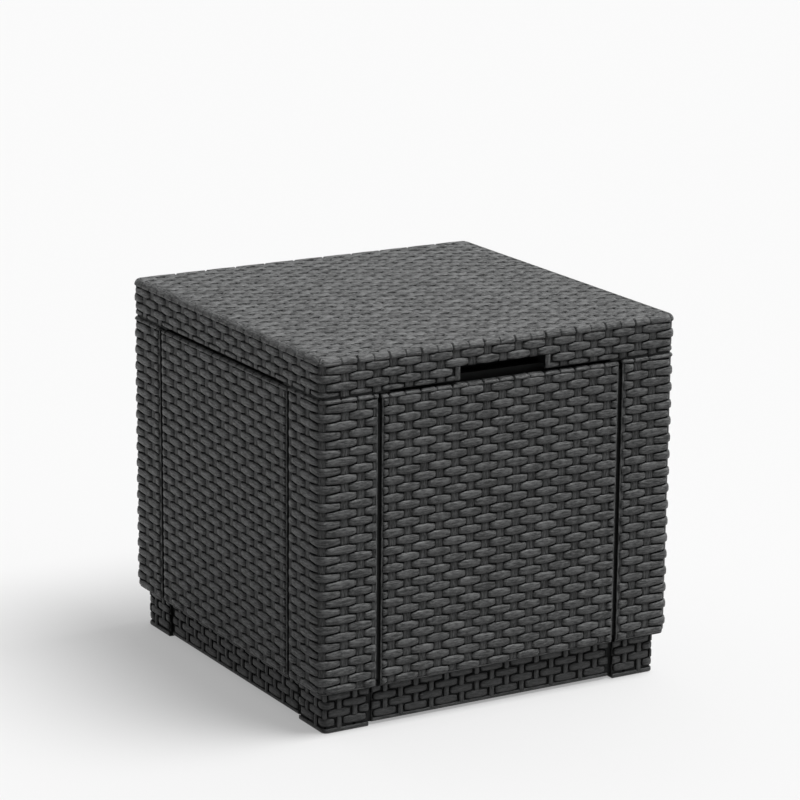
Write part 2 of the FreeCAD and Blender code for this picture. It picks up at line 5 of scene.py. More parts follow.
import bpy
import mathutils
import numpy as np
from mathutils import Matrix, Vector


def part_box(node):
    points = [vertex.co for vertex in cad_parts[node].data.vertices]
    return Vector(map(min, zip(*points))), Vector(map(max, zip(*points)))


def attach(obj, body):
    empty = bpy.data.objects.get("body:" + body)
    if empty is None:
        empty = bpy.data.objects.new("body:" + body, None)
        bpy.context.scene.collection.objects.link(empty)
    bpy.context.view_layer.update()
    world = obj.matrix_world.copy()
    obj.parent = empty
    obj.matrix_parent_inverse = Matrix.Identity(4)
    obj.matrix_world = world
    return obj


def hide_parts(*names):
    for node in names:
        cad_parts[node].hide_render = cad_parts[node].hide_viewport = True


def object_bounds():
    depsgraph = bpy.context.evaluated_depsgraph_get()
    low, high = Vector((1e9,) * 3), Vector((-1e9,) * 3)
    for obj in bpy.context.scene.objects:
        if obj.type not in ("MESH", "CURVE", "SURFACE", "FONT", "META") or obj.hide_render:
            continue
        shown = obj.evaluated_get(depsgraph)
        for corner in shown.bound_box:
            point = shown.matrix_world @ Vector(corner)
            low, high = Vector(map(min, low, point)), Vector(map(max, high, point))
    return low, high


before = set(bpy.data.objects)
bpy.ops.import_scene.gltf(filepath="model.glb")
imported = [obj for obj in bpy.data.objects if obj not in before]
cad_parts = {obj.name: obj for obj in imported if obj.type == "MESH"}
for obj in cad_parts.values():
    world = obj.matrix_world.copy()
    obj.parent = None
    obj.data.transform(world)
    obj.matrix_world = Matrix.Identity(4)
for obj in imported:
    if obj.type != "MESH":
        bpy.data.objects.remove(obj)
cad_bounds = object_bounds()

# Floor tray: the bottom of the storage well, which every other piece of the carcass is fixed to.
# It is injection-moulded polypropylene with a fine spark-eroded grain and a faint flow mottle.
RESIN_IOR = 1.49
MM_PER_METRE = 1000
GRAIN_MM = 0.7
MOTTLE_MM = 35


def linear(hex_colour):
    """An sRGB hex colour as linear red, green, blue and alpha."""
    shares = [int(hex_colour[start:start + 2], 16) / 255 for start in (1, 3, 5)]
    light = [share / 12.92 if share < 0.04045 else ((share + 0.055) / 1.055) ** 2.4 for share in shares]
    return light + [1]


def add_node(tree, kind, inputs=(), **settings):
    """Add a node; each input is a socket's name or number with its value or the socket that feeds it."""
    node = tree.nodes.new(kind)
    for name, setting in settings.items():
        setattr(node, name, setting)
    for name, feed in dict(inputs).items():
        if isinstance(feed, bpy.types.NodeSocket):
            tree.links.new(feed, node.inputs[name])
        else:
            node.inputs[name].default_value = feed
    return node


# A mix node's sockets for colours, by number because its sockets for numbers have the same names.
MIX_FIRST = 6
MIX_SECOND = 7
MIX_COLOUR = 2


def colour_between(tree, share, first, second):
    """Socket with a colour that goes from one hex colour to another as the share goes from 0 to 1."""
    blend = add_node(tree, "ShaderNodeMix", {"Factor": share, MIX_FIRST: linear(first),
                                             MIX_SECOND: linear(second)}, data_type="RGBA")
    return blend.outputs[MIX_COLOUR]


def new_material(name):
    """A material with an empty node tree."""
    material = bpy.data.materials.new(name)
    material.use_nodes = True
    material.node_tree.nodes.clear()
    return material, material.node_tree


def moulded_polypropylene():
    """Plain mouldings: matt, nearly black, with a fine grain that softens every highlight."""
    material, tree = new_material("injection-moulded polypropylene")
    place = add_node(tree, "ShaderNodeTexCoord").outputs["Object"]
    mottle = add_node(tree, "ShaderNodeTexNoise", {"Vector": place, "Scale": MM_PER_METRE / MOTTLE_MM})
    grain = add_node(tree, "ShaderNodeTexNoise", {"Vector": place, "Scale": MM_PER_METRE / GRAIN_MM,
                                                  "Detail": 1})
    colour = colour_between(tree, mottle.outputs["Fac"], "#292a2a", "#353636")
    relief = add_node(tree, "ShaderNodeBump", {"Height": grain.outputs["Fac"], "Strength": 0.25,
                                               "Distance": 0.0002})
    shader = add_node(tree, "ShaderNodeBsdfPrincipled", {"Base Color": colour, "Roughness": 0.7,
                                                         "Specular IOR Level": 0.25, "IOR": RESIN_IOR,
                                                         "Normal": relief.outputs["Normal"]})
    add_node(tree, "ShaderNodeOutputMaterial", {"Surface": shader.outputs["BSDF"]})
    return material


PLAIN_RESIN = moulded_polypropylene()


def finish_node(node, material):
    """Give a CAD node that keeps its shape its real finish."""
    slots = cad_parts[node].data.materials
    slots.clear()
    slots.append(material)


finish_node("floor_tray", PLAIN_RESIN)

# Corner feet: hollow polypropylene blocks under the corners, moulded with a flat imitation weave
# whose narrow uprights stand proud of the wefts. A long screw through each sole holds it.
MM = 0.001
TINY = 0.001
QUARTER = math.pi / 2
SIDE_NAMES = ("front", "right", "back", "left")
CORNER_NAMES = ("front_left", "front_right", "back_right", "back_left")

# The weave has level wefts in rows and upright warps. Sides are counted on past the four, so that a
# strand may start anywhere. Each strand has a strip of its own in the map that carries its streaks.
WARP_PITCH = 18.1
ROW_PITCH = 9.05
SIDE_WARPS = 21
SIDE_COUNTS = np.arange(-2, 5)
CORNER_WARP_SHARE = 0.3
STATION_STEP = 2.3
END_GAP = 0.3
STRAND_SPACING = 0.02
strand_numbers = itertools.count()

# From the warp that a weft crosses to the next one, which it dives under, in shares of the way: its
# stations, where it narrows and where it dives. A warp dives by the wave of its rows, from -1 to 1.
WEFT_STATIONS = np.array([0, 0.3, 0.57, 0.65, 0.71, 0.77, 0.86])
WEFT_CROWN = 0.25
WAIST_START = 0.25
WAIST_LENGTH = 0.35
WEFT_DIVE_START = 0.58
WEFT_DIVE_LENGTH = 0.28
WARP_DIVE_START = -0.2
WARP_DIVE_LENGTH = 0.8


def rounded_section(count, edge_fall, power):
    """Cross-section of a strand: shares of its half width, and how far it falls under its crest."""
    across = np.sin(np.linspace(-QUARTER, QUARTER, count))
    return across, edge_fall * np.abs(across) ** power


RIBBON = (np.array([-1, -1, -0.85, -0.4, 0.4, 0.85, 1, 1]),
          np.array([2.8, 1.2, 0.5, 0, 0, 0.5, 1.2, 2.8]))


class WovenShell:
    """Outer face of a square shell with round corners, by distance along, height up and depth under it.

    Along is measured round the shell from the middle of the front, and up over its rolled edges."""

    def __init__(self, half, corner_radius, bottom, top, bottom_roll, top_roll):
        self.corner_radius = corner_radius
        self.flat = half - corner_radius
        self.side_length = 2 * self.flat + corner_radius * QUARTER
        self.bottom = bottom
        self.top = top
        self.bottom_roll = bottom_roll
        self.top_roll = top_roll

    def place(self, along, up, depth):
        """Points in millimetres."""
        over = up - (self.top - self.top_roll)
        under = self.bottom + self.bottom_roll - up
        lift = np.clip(over / self.top_roll, 0, QUARTER)
        dip = np.clip(under / self.bottom_roll, 0, QUARTER)
        inset = self.top_roll * (1 - np.cos(lift)) + np.maximum(over - self.top_roll * QUARTER, 0)
        inset += self.bottom_roll * (1 - np.cos(dip)) + np.maximum(under - self.bottom_roll * QUARTER, 0)
        height = np.clip(up, self.bottom + self.bottom_roll, self.top - self.top_roll)
        height += self.top_roll * np.sin(lift) - self.bottom_roll * np.sin(dip)
        inset += depth * np.cos(lift - dip)
        height -= depth * np.sin(lift - dip)
        side = np.round(along / self.side_length)
        local = along - side * self.side_length
        bend = np.sign(local) * np.maximum(np.abs(local) - self.flat, 0) / self.corner_radius
        reach = self.corner_radius - inset
        x = np.clip(local, -self.flat, self.flat) + reach * np.sin(bend)
        y = -self.flat - reach * np.cos(bend)
        turn = side * QUARTER
        turned_x = x * np.cos(turn) - y * np.sin(turn)
        turned_y = x * np.sin(turn) + y * np.cos(turn)
        return np.stack([turned_x, turned_y, height], -1)

    def up_at(self, inset):
        """Height up the rolled top edge of the line that lies this far in from the outer face."""
        lift = math.acos(max(1 - inset / self.top_roll, 0))
        return self.top + self.top_roll * (lift - 1) + max(inset - self.top_roll, 0)

    def shave(self, points, depth):
        """Points in millimetres moved in until each is at least this deep under the face."""
        plan = points[:, :2]
        past = np.maximum(np.abs(plan) - self.flat, 0)
        distance = np.maximum(np.hypot(past[:, 0], past[:, 1]), TINY)
        reach = np.maximum(distance - (self.corner_radius - self.top_roll), 0)
        rise = np.maximum(points[:, 2] - (self.top - self.top_roll), 0)
        share = np.minimum((self.top_roll - depth) / np.maximum(np.hypot(reach, rise), TINY), 1)
        new_distance = distance - reach * (1 - share)
        new_past = past * (new_distance / distance)[:, None]
        shaved = np.sign(plan) * (np.minimum(np.abs(plan), self.flat) + new_past)
        return np.column_stack([shaved, points[:, 2] - rise * (1 - share)])


Strand = collections.namedtuple("Strand", "points quads strand_map recess")


def strand(place, path, middle, half_width, depth, deepest, upright=False, section=RIBBON):
    """A closed flat strand along a path, in millimetres, with its map and its depth under the face."""
    across, edge_fall = section
    count, sides = len(path), len(across)
    offset = np.outer(np.broadcast_to(half_width, count), across)
    fall = np.minimum(np.broadcast_to(depth, count)[:, None] + edge_fall, deepest)
    run = np.repeat(np.asarray(path, float)[:, None], sides, axis=1)
    points = place(middle - offset, run, fall) if upright else place(run, middle + offset, fall)
    ring = np.arange(sides)
    following = np.roll(ring, -1)
    first = sides * np.arange(count - 1)[:, None]
    skin = np.stack([first + ring, first + sides + ring, first + sides + following, first + following], -1)
    cap = np.array([[side, side + 1, sides - side - 2, sides - side - 1] for side in range(sides // 2 - 1)])
    quads = np.concatenate([skin.reshape(-1, 4), cap, cap[:, ::-1] + sides * (count - 1)])
    spread = STRAND_SPACING * next(strand_numbers)
    strand_map = np.stack([run * MM, offset * MM + spread], -1)
    return Strand(points.reshape(-1, 3), quads, strand_map.reshape(-1, 2), fall.ravel())


def steps(start, end, step):
    """Evenly spaced stations from start to end."""
    return np.linspace(start, end, max(2, round(abs(end - start) / step) + 1))


def ease(share):
    """Smooth step from 0 to 1."""
    share = np.clip(share, 0, 1)
    return share * share * (3 - 2 * share)


Relief = collections.namedtuple("Relief", "weft_crest weft_trough weft_half weft_waist warp_crest "
                                          "warp_trough warp_half corner_half warp_section deepest")


class Weave:
    """Plain weave of wefts along rows and warps up lines, with the relief of one moulding."""

    def __init__(self, place, lines, numbers, rows, relief):
        self.place = place
        self.lines = np.asarray(lines)
        self.numbers = np.asarray(numbers)
        self.rows = np.asarray(rows)
        self.relief = relief

    def weft(self, row, start, end, slim=1.0, sink=0.0):
        """The weft of one row: over the warps whose number and row add up to an even number."""
        crests = self.numbers[(self.numbers + row) % 2 == 0, None]
        stations = np.concatenate([crests - WEFT_STATIONS, crests + WEFT_STATIONS], axis=None)
        path = np.interp(np.unique(stations), self.numbers, self.lines)
        path = np.concatenate([[start], path[(path > start + END_GAP) & (path < end - END_GAP)], [end]])
        phase = np.interp(path, self.lines, self.numbers) + row
        away = np.abs((phase + 1) % 2 - 1)
        dive = ease((away - WEFT_DIVE_START) / WEFT_DIVE_LENGTH)
        narrowing = ease((away - WAIST_START) / WAIST_LENGTH)
        relief = self.relief
        depth = relief.weft_crest + (relief.weft_trough - relief.weft_crest) * dive
        depth = depth + WEFT_CROWN * away ** 2 + sink
        half = relief.weft_half + (relief.weft_waist - relief.weft_half) * narrowing
        return strand(self.place, path, self.rows[row], half * slim, depth, relief.deepest)

    def warp(self, line, bottom, top, start=-math.inf, end=math.inf):
        """The warp on one line, which shows between the wefts and is cut off at start and end."""
        path = steps(bottom, top, STATION_STEP)
        order = np.argsort(self.rows)
        row = np.interp(path, self.rows[order], order)
        wave = np.cos(math.pi * (self.numbers[line] + row))
        dive = ease((wave - WARP_DIVE_START) / WARP_DIVE_LENGTH)
        relief = self.relief
        depth = relief.warp_crest + (relief.warp_trough - relief.warp_crest) * dive
        in_corner = self.numbers[line] % (SIDE_WARPS + 1) == SIDE_WARPS // 2 + 1
        half = relief.corner_half if in_corner else relief.warp_half
        left = max(self.lines[line] - half, start)
        right = min(self.lines[line] + half, end)
        return strand(self.place, path, (left + right) / 2, (right - left) / 2, depth, relief.deepest,
                      upright=True, section=relief.warp_section)

    def warps(self, start, end, bottom, top):
        """Every warp between two places along the shell."""
        between = (self.lines > start) & (self.lines < end) & (self.numbers % 1 == 0)
        return [self.warp(line, bottom, top, start, end) for line in np.flatnonzero(between)]


def warp_lines(shell):
    """Places and numbers of the warps round a shell: 0 in the middle of the front, one in each corner.

    Beside a corner the warps are farther apart. A place between them, near each one, keeps the width of
    it that shows as it is elsewhere."""
    last = SIDE_WARPS // 2
    corner = shell.side_length / 2
    beside = [last + CORNER_WARP_SHARE, last + 1 - CORNER_WARP_SHARE, last + 1]
    numbers = np.concatenate([np.arange(last + 1), beside])
    lines = WARP_PITCH * numbers
    lines[-2:] = corner - WARP_PITCH * CORNER_WARP_SHARE, corner
    numbers = np.concatenate([-numbers[:0:-1], numbers[:-1]])
    lines = np.concatenate([-lines[:0:-1], lines[:-1]])
    sides = SIDE_COUNTS[:, None]
    return (lines + sides * shell.side_length).ravel(), (numbers + sides * (SIDE_WARPS + 1)).ravel()


WELD_DECIMALS = 3


def core_of(node, shell, depth):
    """The node's own mesh in millimetres, planed back under the strands and welded where it folds flat."""
    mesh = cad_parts[node].data
    points = np.empty(len(mesh.vertices) * 3)
    mesh.vertices.foreach_get("co", points)
    mesh.calc_loop_triangles()
    triangles = np.empty(len(mesh.loop_triangles) * 3, int)
    mesh.loop_triangles.foreach_get("vertices", triangles)
    planed = np.round(shell.shave(points.reshape(-1, 3) / MM, depth), WELD_DECIMALS)
    points, places = np.unique(planed, axis=0, return_inverse=True)
    triangles = places.ravel()[triangles].reshape(-1, 3)
    whole = (np.diff(np.sort(triangles, axis=1), axis=1) > 0).all(axis=1)
    return points, triangles[whole]


def make_piece(name, strands, material, core=None):
    """One mesh of strands, and of the moulding that carries them where a core is given."""
    points = [part.points for part in strands]
    strand_maps = [part.strand_map for part in strands]
    recesses = [part.recess for part in strands]
    faces = []
    count = 0
    for part in strands:
        faces += (part.quads + count).tolist()
        count += len(part.points)
    strand_faces = len(faces)
    if core is not None:
        core_points, core_triangles = core
        points.append(core_points)
        strand_maps.append(np.zeros((len(core_points), 2)))
        recesses.append(np.zeros(len(core_points)))
        faces += (core_triangles + count).tolist()
    mesh = bpy.data.meshes.new(name)
    mesh.from_pydata((np.concatenate(points) * MM).tolist(), [], faces)
    corners = np.empty(len(mesh.loops), int)
    mesh.loops.foreach_get("vertex_index", corners)
    layer = mesh.uv_layers.new(name="strand")
    layer.uv.foreach_set("vector", np.concatenate(strand_maps)[corners].ravel())
    # Depth of each point under the face, which the woven materials turn into painted shade.
    recess = mesh.attributes.new("recess", "FLOAT", "POINT")
    recess.data.foreach_set("value", np.concatenate(recesses))
    mesh.materials.append(material)
    mesh.materials.append(PLAIN_RESIN)
    of_core = np.arange(len(faces)) >= strand_faces
    mesh.polygons.foreach_set("material_index", of_core.astype(int))
    mesh.polygons.foreach_set("use_smooth", ~of_core)
    piece = bpy.data.objects.new(name, mesh)
    bpy.context.scene.collection.objects.link(piece)
    return piece


STREAK_LENGTH_MM = 9
STREAK_WIDTH_MM = 2
SHADE_MM = 30
# Specular level on the crests; painted shade lowers it in the recesses.
CREST_SHINE = 0.5


def woven_polypropylene(name, dark, light, painted_shade_start, painted_shade_end, painted_shade_tone):
    """Imitation rattan: lengthwise drawn streaks in tone and relief; painted shade darkens the colour and
    dims the reflection in recesses.

    The fibres of real rattan are finer; the streaks are as coarse as they need to be to show."""
    material, tree = new_material(name)
    place = add_node(tree, "ShaderNodeUVMap", uv_map="strand").outputs["UV"]
    streak_scale = (MM_PER_METRE / STREAK_LENGTH_MM, MM_PER_METRE / STREAK_WIDTH_MM, 1)
    shade_scale = (MM_PER_METRE / SHADE_MM, MM_PER_METRE / SHADE_MM, 1)
    streaks = add_node(tree, "ShaderNodeMapping", {"Vector": place, "Scale": streak_scale})
    shades = add_node(tree, "ShaderNodeMapping", {"Vector": place, "Scale": shade_scale})
    streak = add_node(tree, "ShaderNodeTexNoise", {"Vector": streaks.outputs["Vector"], "Scale": 1,
                                                   "Detail": 4, "Roughness": 0.7})
    shade = add_node(tree, "ShaderNodeTexNoise", {"Vector": shades.outputs["Vector"], "Scale": 1,
                                                  "Detail": 1})
    blend = add_node(tree, "ShaderNodeMix", {"Factor": 0.25, "A": streak.outputs["Fac"],
                                             "B": shade.outputs["Fac"]})
    tone = add_node(tree, "ShaderNodeMapRange", {"Value": blend.outputs[0], "From Min": 0.42,
                                                 "From Max": 0.6})
    crest = colour_between(tree, tone.outputs[0], dark, light)
    # Painted shade: the deeper a point lies under the face, the darker its colour and the weaker its
    # reflection.
    depth = add_node(tree, "ShaderNodeAttribute", attribute_name="recess")
    painted_shade = add_node(tree, "ShaderNodeMapRange", {"Value": depth.outputs["Fac"], "From Min": painted_shade_start,
                                                     "From Max": painted_shade_end, "To Min": 1,
                                                     "To Max": painted_shade_tone})
    colour = add_node(tree, "ShaderNodeVectorMath", {0: crest, 1: painted_shade.outputs[0]}, operation="MULTIPLY")
    gloss = add_node(tree, "ShaderNodeMapRange", {"Value": streak.outputs["Fac"], "From Min": 0.3,
                                                  "From Max": 0.7, "To Min": 0.55, "To Max": 0.32})
    relief = add_node(tree, "ShaderNodeBump", {"Height": streak.outputs["Fac"], "Strength": 1,
                                               "Distance": 0.0011})
    shaded_shine = add_node(tree, "ShaderNodeMath", {0: painted_shade.outputs[0], 1: CREST_SHINE}, operation="MULTIPLY")
    shader = add_node(tree, "ShaderNodeBsdfPrincipled", {"Base Color": colour.outputs[0],
                                                         "Specular IOR Level": shaded_shine.outputs[0],
                                                         "Roughness": gloss.outputs[0], "IOR": RESIN_IOR,
                                                         "Normal": relief.outputs["Normal"]})
    add_node(tree, "ShaderNodeOutputMaterial", {"Surface": shader.outputs["BSDF"]})
    return material


# The plinth is the wall weave in painted shade: its light streaks are darker than the walls', for the shade
# under the overhanging walls, and its recesses are painted nearly black.
SHADED_PLINTH_RESIN = woven_polypropylene("woven-pattern polypropylene, plinth in painted shade", dark="#292a2a", light="#4e4f4f",
                                   painted_shade_start=1, painted_shade_end=2.1, painted_shade_tone=0.05)

foot_low, foot_high = (np.array(corner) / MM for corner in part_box("front_left_foot"))
foot_edge = foot_high[0]
PLINTH_TOP = foot_high[2]
PLINTH_CORNER_RADIUS = 6
PLINTH_TOP_ROLL = 3
SOLE_ROLL = 1.5
PLINTH_CORE_DEPTH = 2.4
PLINTH_MARGIN = 3
PLINTH_FIRST_ROW = 5
PLINTH_ROW_COUNT = 4
PLINTH_ROWS = PLINTH_TOP - PLINTH_FIRST_ROW - ROW_PITCH * np.arange(PLINTH_ROW_COUNT)
PLINTH_RELIEF = Relief(weft_crest=0.3, weft_trough=2.7, weft_half=4.2, weft_waist=3.6, warp_crest=0.1,
                       warp_trough=2.2, warp_half=2.8, corner_half=2.8, warp_section=RIBBON, deepest=2.9)
PLINTH_HEM = rounded_section(count=8, edge_fall=1.2, power=8)
FOOT_HEM_WIDTH = 4
HEM_LAP = 1
feet = WovenShell(-foot_low[0], PLINTH_CORNER_RADIUS, 0, PLINTH_TOP, SOLE_ROLL, PLINTH_TOP_ROLL)
foot_weave = Weave(feet.place, *warp_lines(feet), PLINTH_ROWS, PLINTH_RELIEF)


def plinth_strands(shell, weave, start, end, hem_width):
    """Weave of one plinth piece between two places, with its bottom hem."""
    sole = shell.bottom
    strands = [weave.weft(row, start, end) for row in range(PLINTH_ROW_COUNT)]
    strands += weave.warps(start + PLINTH_MARGIN, end - PLINTH_MARGIN, sole + PLINTH_MARGIN, PLINTH_TOP)
    strands.append(strand(shell.place, steps(start, end, STATION_STEP), sole + hem_width / 2,
                          hem_width / 2 + HEM_LAP, PLINTH_RELIEF.weft_crest, PLINTH_RELIEF.deepest,
                          section=PLINTH_HEM))
    return strands


for number, corner_name in enumerate(CORNER_NAMES):
    middle = (number - 0.5) * feet.side_length
    reach = foot_edge + 0.5 * feet.side_length
    strands = plinth_strands(feet, foot_weave, middle - reach, middle + reach, FOOT_HEM_WIDTH)
    foot = make_piece(f"{corner_name}_foot_woven", strands, SHADED_PLINTH_RESIN,
                      core_of(f"{corner_name}_foot", feet, PLINTH_CORE_DEPTH))
    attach(foot, "carcass")
    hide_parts(f"{corner_name}_foot")

# Plinth rails: polypropylene strips with the same flat weave, set back between the feet.
# A tongue at each end of the backing plate plugs into a slot in the foot.
FOOT_GROOVE = 5
RAIL_HEM_WIDTH = 3
RAIL_HALF = -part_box("front_rail")[0].y / MM
RAIL_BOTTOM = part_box("front_rail")[0].z / MM
rails = WovenShell(RAIL_HALF, PLINTH_CORNER_RADIUS, RAIL_BOTTOM, PLINTH_TOP, SOLE_ROLL, PLINTH_TOP_ROLL)
rail_weave = Weave(rails.place, *warp_lines(rails), PLINTH_ROWS, PLINTH_RELIEF)
rail_reach = -foot_edge - FOOT_GROOVE
for number, side_name in enumerate(SIDE_NAMES):
    middle = number * rails.side_length
    strands = plinth_strands(rails, rail_weave, middle - rail_reach, middle + rail_reach, RAIL_HEM_WIDTH)
    rail = make_piece(f"{side_name}_rail_woven", strands, SHADED_PLINTH_RESIN,
                      core_of(f"{side_name}_rail", rails, PLINTH_CORE_DEPTH))
    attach(rail, "carcass")
    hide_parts(f"{side_name}_rail")

# Corner posts: L-shaped polypropylene mouldings between the grooves. Deep imitation weave wraps
# round the corner, and a hem of wrapped strands rolls over the top edge.
# Graphite weave of the walls and lid, with painted shade in its recesses.
WOVEN_RESIN = woven_polypropylene("woven-pattern polypropylene, graphite", dark="#2b2c2c", light="#747575",
                                  painted_shade_start=1.5, painted_shade_end=2.6, painted_shade_tone=0.1)

WALL_HALF = cad_bounds[1][0] / MM
WALL_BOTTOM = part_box("front_left_post")[0].z / MM
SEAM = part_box("front_left_post")[1].z / MM
post_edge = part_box("front_left_post")[1].x / MM
WALL_CORNER_RADIUS = 10
WALL_BOTTOM_ROLL = 5.5
POST_ROLL = 3.5
WALL_CORE_DEPTH = 3.1
WALL_FIRST_ROW = 9.3
WALL_ROW_COUNT = 33
WALL_ROWS = SEAM - WALL_FIRST_ROW - ROW_PITCH * np.arange(WALL_ROW_COUNT)
UPRIGHT = (np.array([-1, -0.8, -0.4, 0.4, 0.8, 1, 0.4, -0.4]),
           np.array([0.9, 0.3, 0, 0, 0.3, 0.9, 1.2, 1.2]))
WALL_RELIEF = Relief(weft_crest=0, weft_trough=3.2, weft_half=4.3, weft_waist=3.35, warp_crest=1.8,
                     warp_trough=2.8, warp_half=5.4, corner_half=6.6, warp_section=UPRIGHT, deepest=3.6)
EDGE_BAND = 2.2
EDGE_BAND_DEPTH = 1.3
HEM = rounded_section(count=14, edge_fall=1.6, power=9)
HEM_INSET = 9.5
POST_HEM_HEIGHT = 4
NOTCH_PLACES = np.array([-1.6, -0.8, -0.3, 0.3, 0.8, 1.6])
NOTCH_SHIFT = 4.4
NOTCH_REACH = 1.4
DEEP_NOTCH = 2.2
SHALLOW_NOTCH = 1.3
LOWER_HEM_TURN = 2
LOWER_HEM_HALF = 2.6
LOWER_HEM_DEPTH = 0.2
posts = WovenShell(WALL_HALF, WALL_CORNER_RADIUS, WALL_BOTTOM, SEAM, WALL_BOTTOM_ROLL, POST_ROLL)
wall_lines, wall_numbers = warp_lines(posts)
post_weave = Weave(posts.place, wall_lines, wall_numbers, WALL_ROWS, WALL_RELIEF)


def hem(shell, start, end, low, inset):
    """Hem strand along the top edge of a shell, rolled over it and notched beside every warp."""
    inner_edge = shell.up_at(inset)
    notches = (wall_lines[wall_numbers % 1 == 0, None] - NOTCH_SHIFT + NOTCH_PLACES).ravel()
    path = np.unique(np.concatenate([notches, steps(start, end, STATION_STEP)]))
    path = path[(path >= start) & (path <= end)]
    number = np.interp(path + NOTCH_SHIFT, wall_lines, wall_numbers)
    nearest = np.round(number)
    away = np.abs(number - nearest) * WARP_PITCH
    depth = np.where(nearest % 2, DEEP_NOTCH, SHALLOW_NOTCH) * ease(1 - away / NOTCH_REACH)
    return strand(shell.place, path, (low + inner_edge) / 2, (inner_edge - low) / 2, depth,
                  WALL_RELIEF.deepest, section=HEM)


def wall_strands(shell, weave, start, end, hem_low):
    """Weave of one wall piece between two grooves, with a narrow band along each and its hems."""
    strands = [weave.weft(row, start + EDGE_BAND, end - EDGE_BAND) for row in range(WALL_ROW_COUNT)]
    for edge in (start + EDGE_BAND / 2, end - EDGE_BAND / 2):
        strands.append(strand(shell.place, steps(WALL_BOTTOM, hem_low + HEM_LAP, STATION_STEP), edge,
                              EDGE_BAND / 2, EDGE_BAND_DEPTH, WALL_RELIEF.deepest, upright=True,
                              section=UPRIGHT))
    strands += weave.warps(start, end, WALL_BOTTOM, hem_low + HEM_LAP)
    strands.append(strand(shell.place, steps(start, end, STATION_STEP), WALL_BOTTOM - LOWER_HEM_TURN,
                          LOWER_HEM_HALF, LOWER_HEM_DEPTH, WALL_RELIEF.deepest))
    strands.append(hem(shell, start, end, hem_low, HEM_INSET))
    return strands


for number, corner_name in enumerate(CORNER_NAMES):
    middle = (number - 0.5) * posts.side_length
    reach = post_edge + 0.5 * posts.side_length
    strands = wall_strands(posts, post_weave, middle - reach, middle + reach, SEAM - POST_HEM_HEIGHT)
    post = make_piece(f"{corner_name}_post_woven", strands, WOVEN_RESIN,
                      core_of(f"{corner_name}_post", posts, WALL_CORE_DEPTH))
    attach(post, "carcass")
    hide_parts(f"{corner_name}_post")

# Corner screws: long zinc-plated steel screws that clamp foot, floor tray and post together.
# Bright zinc over drawn steel, a little cloudy from the plating bath.
ZINC_CLOUD_MM = 4


def zinc_plated_steel():
    """Bright zinc plate: a pale blue-grey metal, clouded by the plating bath."""
    material, tree = new_material("zinc-plated steel")
    place = add_node(tree, "ShaderNodeTexCoord").outputs["Object"]
    cloud = add_node(tree, "ShaderNodeTexNoise", {"Vector": place, "Scale": MM_PER_METRE / ZINC_CLOUD_MM,
                                                  "Detail": 3})
    colour = colour_between(tree, cloud.outputs["Fac"], "#9a9ea3", "#c3c7ca")
    gloss = add_node(tree, "ShaderNodeMapRange", {"Value": cloud.outputs["Fac"], "To Min": 0.28,
                                                  "To Max": 0.45})
    shader = add_node(tree, "ShaderNodeBsdfPrincipled", {"Base Color": colour, "Metallic": 1,
                                                         "Roughness": gloss.outputs[0]})
    add_node(tree, "ShaderNodeOutputMaterial", {"Surface": shader.outputs["BSDF"]})
    return material


ZINC = zinc_plated_steel()
finish_node("corner_screws", ZINC)

# Wall panels: polypropylene panels between the posts, with the same deep weave up to the open
# grooves and a rolled hem of wrapped strands along the top.
WALL_GROOVE = 4.5
PANEL_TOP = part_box("front_panel")[1].z / MM
PANEL_ROLL = 5
PANEL_HEM_HEIGHT = 3.6
panels = WovenShell(WALL_HALF, WALL_CORNER_RADIUS, WALL_BOTTOM, PANEL_TOP, WALL_BOTTOM_ROLL, PANEL_ROLL)
panel_weave = Weave(panels.place, wall_lines, wall_numbers, WALL_ROWS, WALL_RELIEF)
panel_reach = -post_edge - WALL_GROOVE
for number, side_name in enumerate(SIDE_NAMES):
    middle = number * panels.side_length
    strands = wall_strands(panels, panel_weave, middle - panel_reach, middle + panel_reach,
                           PANEL_TOP - PANEL_HEM_HEIGHT)
    panel = make_piece(f"{side_name}_panel_woven", strands, WOVEN_RESIN,
                       core_of(f"{side_name}_panel", panels, WALL_CORE_DEPTH))
    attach(panel, "carcass")
    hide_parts(f"{side_name}_panel")

# Lid: one polypropylene moulding with a woven top and skirt and a hem rolled over every edge.
# The front skirt is cut away between two jambs for the fingers. Over each panel the skirt ends a
# little higher than over the posts.
LID_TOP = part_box("lid_shell")[1].z / MM
LID_ROLL = 7.5
SKIRT_ROLL = 1
LID_HEM_HEIGHT = 8.2
LID_HEM_INSET = 5.5
SKIRT_WARP_LAP = 2
GRIP_HALF = 50
GRIP_HEIGHT = 16.5
JAMB_WIDTH = 6
JAMB_DEPTH = 0.6
CUTAWAY_HALF = 130
CUTAWAY_HEIGHT = 3
SKIRT_ROWS = LID_TOP - np.array([12.6, 20.9, 29.7, 37])
SKIRT_SLIM = (0.95, 0.95, 0.95, 0.6)
SKIRT_SINK = (0, 0, 0, 1.3)
lid = WovenShell(WALL_HALF, WALL_CORNER_RADIUS, SEAM, LID_TOP, SKIRT_ROLL, LID_ROLL)
skirt_weave = Weave(lid.place, wall_lines, wall_numbers, SKIRT_ROWS, WALL_RELIEF)
round_lid = 4 * lid.side_length
grip_top = SEAM + GRIP_HEIGHT
hem_low = LID_TOP - LID_HEM_HEIGHT
strands = []
for row, height in enumerate(SKIRT_ROWS):
    if height > grip_top:
        turn_in = 2 * lid.side_length + WARP_PITCH * ((row + 1) % 2)
        start, end = turn_in - round_lid, turn_in
    else:
        start = GRIP_HALF + JAMB_WIDTH / 2
        end = round_lid - start
    strands.append(skirt_weave.weft(row, start, end, SKIRT_SLIM[row], SKIRT_SINK[row]))
once_round = (wall_lines > -0.5 * lid.side_length - END_GAP) & (wall_lines < 3.5 * lid.side_length - END_GAP)
